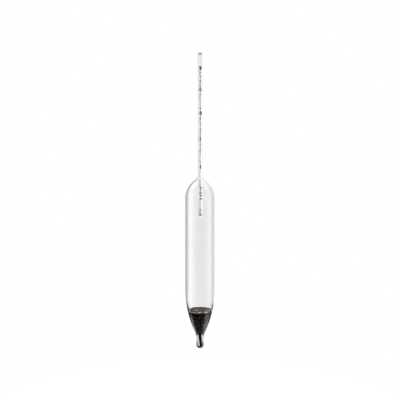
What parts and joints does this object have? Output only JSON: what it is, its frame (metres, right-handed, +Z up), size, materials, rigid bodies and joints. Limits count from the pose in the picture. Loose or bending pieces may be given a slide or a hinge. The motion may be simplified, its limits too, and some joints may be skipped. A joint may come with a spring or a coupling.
{
  "type": "hydrometer",
  "caption": "Floating glass hydrometer with a thin stem holding a rolled paper scale, a long bulb, a paper label, sealed shot ballast in the taper and a bead at the tip.",
  "frame": {"origin": "on the instrument's axis at the float line, the zero mark of the scale, where the surface of water crosses the stem when the instrument floats", "axes": "+Z up along the instrument's axis, from the end bead to the top of the stem; the round solids have no front, and the printed scale faces between -Y and +X"},
  "size_m": [0.0304, 0.0304, 0.305],
  "materials": {
    "stem_glass": "gloss",
    "bulb_glass": "gloss",
    "bead_glass": "gloss",
    "scale_paper": "matte",
    "label_paper": "matte",
    "cement": "satin",
    "lead_shot": "satin",
    "seal_resin": "gloss"
  },
  "bodies": {
    "root": {"stem_tube": "stem_glass", "bulb_shell": "bulb_glass", "end_bead": "bead_glass", "scale_paper": "scale_paper", "data_label": "label_paper", "scale_cement": "cement", "shot_ballast": "lead_shot", "ballast_seal": "seal_resin"}
  },
  "joints": []
}
